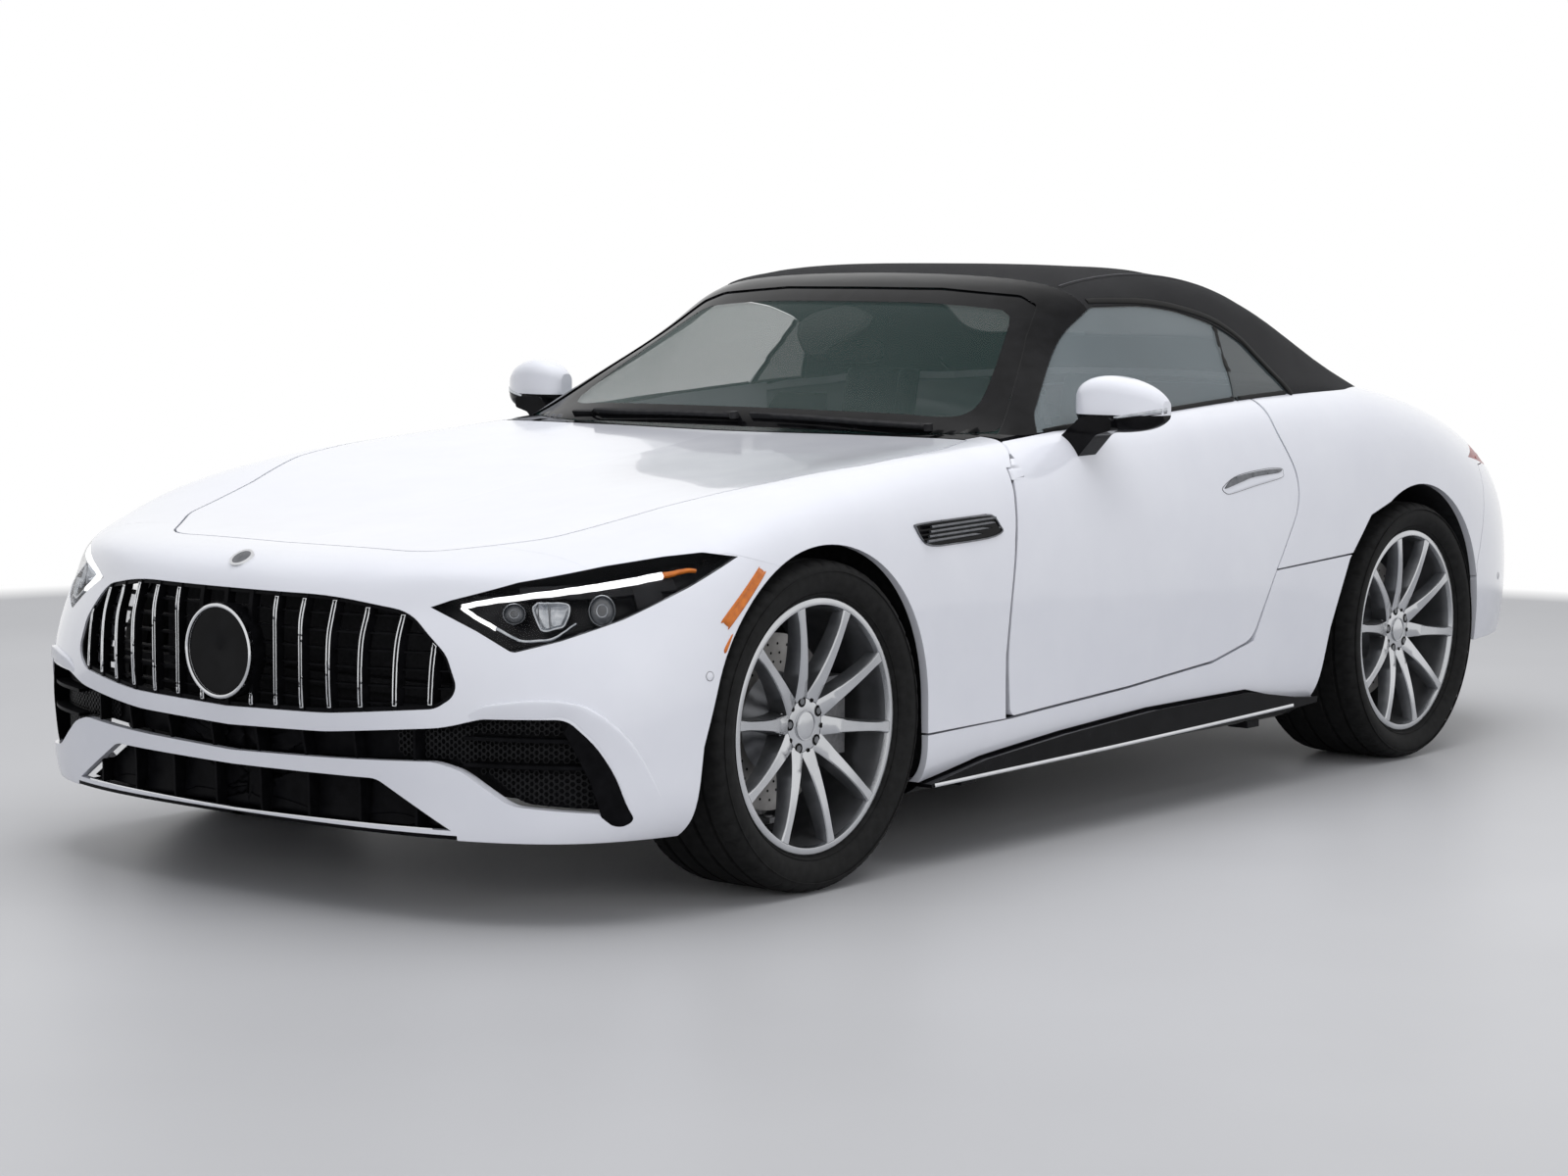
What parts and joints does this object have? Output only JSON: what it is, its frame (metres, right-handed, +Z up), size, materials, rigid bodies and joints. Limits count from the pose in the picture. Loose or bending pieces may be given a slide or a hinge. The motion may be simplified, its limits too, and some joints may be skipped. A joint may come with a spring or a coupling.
{
  "type": "roadster",
  "caption": "Low two-plus-two roadster with a raised fabric top, steered front wheels, side doors, and hinged bonnet and boot lid",
  "frame": {"origin": "on the ground, midway between the ends and the sides of the bounding box", "axes": "+X the car's left side, +Y towards the tail, +Z up; the nose faces -Y"},
  "size_m": [2.128, 4.705, 1.3697],
  "materials": {
    "floor_pan": "satin",
    "front_bumper": "gloss",
    "grille": "polished",
    "front_intakes": "gloss",
    "fender_left": "gloss",
    "fender_right": "gloss",
    "bonnet": "gloss",
    "windscreen_frame": "gloss",
    "windscreen": "clear",
    "dashboard": "matte",
    "steering_wheel": "matte",
    "centre_console": "gloss",
    "seat_left": "matte",
    "seat_right": "matte",
    "rear_seat": "matte",
    "door_left": "gloss",
    "door_right": "gloss",
    "door_glass_left": "clear",
    "door_glass_right": "clear",
    "mirror_left": "gloss",
    "mirror_right": "gloss",
    "sill_left": "gloss",
    "sill_right": "gloss",
    "side_skirts": "gloss",
    "quarter_left": "gloss",
    "quarter_right": "gloss",
    "tonneau_cover": "gloss",
    "boot_lid": "gloss",
    "rear_bumper": "gloss",
    "diffuser": "matte",
    "tail_lamps": "gloss",
    "headlamps": "clear",
    "soft_top": "matte",
    "rear_glass": "clear",
    "front_subframe": "cast",
    "rear_suspension": "cast",
    "engine_block": "cast",
    "exhaust": "brushed",
    "knuckle_left": "cast",
    "knuckle_right": "cast",
    "wheel_front_left": "machined",
    "tyre_front_left": "matte",
    "wheel_front_right": "machined",
    "tyre_front_right": "matte",
    "wheel_rear_left": "machined",
    "tyre_rear_left": "matte",
    "wheel_rear_right": "machined",
    "tyre_rear_right": "matte"
  },
  "bodies": {
    "body": {"floor_pan": "floor_pan", "front_bumper": "front_bumper", "grille": "grille", "front_intakes": "front_intakes", "fender_left": "fender_left", "fender_right": "fender_right", "windscreen_frame": "windscreen_frame", "windscreen": "windscreen", "dashboard": "dashboard", "centre_console": "centre_console", "seat_left": "seat_left", "seat_right": "seat_right", "rear_seat": "rear_seat", "sill_left": "sill_left", "sill_right": "sill_right", "side_skirts": "side_skirts", "quarter_left": "quarter_left", "quarter_right": "quarter_right", "tonneau_cover": "tonneau_cover", "rear_bumper": "rear_bumper", "diffuser": "diffuser", "tail_lamps": "tail_lamps", "headlamps": "headlamps", "soft_top": "soft_top", "rear_glass": "rear_glass", "front_subframe": "front_subframe", "rear_suspension": "rear_suspension", "engine_block": "engine_block", "exhaust": "exhaust"},
    "bonnet_body": {"bonnet": "bonnet"},
    "boot_body": {"boot_lid": "boot_lid"},
    "door_body_left": {"door_left": "door_left", "door_glass_left": "door_glass_left", "mirror_left": "mirror_left"},
    "door_body_right": {"door_right": "door_right", "door_glass_right": "door_glass_right", "mirror_right": "mirror_right"},
    "steering_body": {"steering_wheel": "steering_wheel"},
    "knuckle_body_left": {"knuckle_left": "knuckle_left"},
    "knuckle_body_right": {"knuckle_right": "knuckle_right"},
    "wheel_body_front_left": {"wheel_front_left": "wheel_front_left", "tyre_front_left": "tyre_front_left"},
    "wheel_body_front_right": {"wheel_front_right": "wheel_front_right", "tyre_front_right": "tyre_front_right"},
    "wheel_body_rear_left": {"wheel_rear_left": "wheel_rear_left", "tyre_rear_left": "tyre_rear_left"},
    "wheel_body_rear_right": {"wheel_rear_right": "wheel_rear_right", "tyre_rear_right": "tyre_rear_right"}
  },
  "joints": [
    {"name": "steer_left", "type": "hinge", "parent": "body", "child": "knuckle_body_left", "pos_m": [0.7875, -1.4675, 0.363], "axis": [0, 0, 1], "range_deg": [-35, 35]},
    {"name": "steer_right", "type": "hinge", "parent": "body", "child": "knuckle_body_right", "pos_m": [-0.7875, -1.4675, 0.363], "axis": [0, 0, 1], "range_deg": [-35, 35]},
    {"name": "steering_wheel_turn", "type": "hinge", "parent": "body", "child": "steering_body", "pos_m": [0.372, -0.1575, 0.806], "axis": [0, 0.9135, 0.4067], "range_deg": [-455, 455]},
    {"name": "spin_front_left", "type": "hinge", "parent": "knuckle_body_left", "child": "wheel_body_front_left", "pos_m": [0.8075, -1.4675, 0.363], "axis": [1, 0, 0], "continuous": true},
    {"name": "spin_front_right", "type": "hinge", "parent": "knuckle_body_right", "child": "wheel_body_front_right", "pos_m": [-0.8075, -1.4675, 0.363], "axis": [1, 0, 0], "continuous": true},
    {"name": "spin_rear_left", "type": "hinge", "parent": "body", "child": "wheel_body_rear_left", "pos_m": [0.7925, 1.2325, 0.358], "axis": [1, 0, 0], "continuous": true},
    {"name": "spin_rear_right", "type": "hinge", "parent": "body", "child": "wheel_body_rear_right", "pos_m": [-0.7925, 1.2325, 0.358], "axis": [1, 0, 0], "continuous": true},
    {"name": "bonnet_hinge", "type": "hinge", "parent": "body", "child": "bonnet_body", "pos_m": [0, -0.6415, 0.938], "axis": [-1, 0, 0], "range_deg": [0, 50]},
    {"name": "boot_hinge", "type": "hinge", "parent": "body", "child": "boot_body", "pos_m": [0, 1.3545, 0.985], "axis": [1, 0, 0], "range_deg": [0, 65]},
    {"name": "door_hinge_left", "type": "hinge", "parent": "body", "child": "door_body_left", "pos_m": [0.868, -0.6555, 0.58], "axis": [0, 0, -1], "range_deg": [0, 65]},
    {"name": "door_hinge_right", "type": "hinge", "parent": "body", "child": "door_body_right", "pos_m": [-0.868, -0.6555, 0.58], "axis": [0, 0, 1], "range_deg": [0, 65]}
  ],
  "couplings": [
    {"joint": "steer_right", "follows": "steer_left", "ratio": 1},
    {"joint": "steering_wheel_turn", "follows": "steer_left", "ratio": 13}
  ]
}
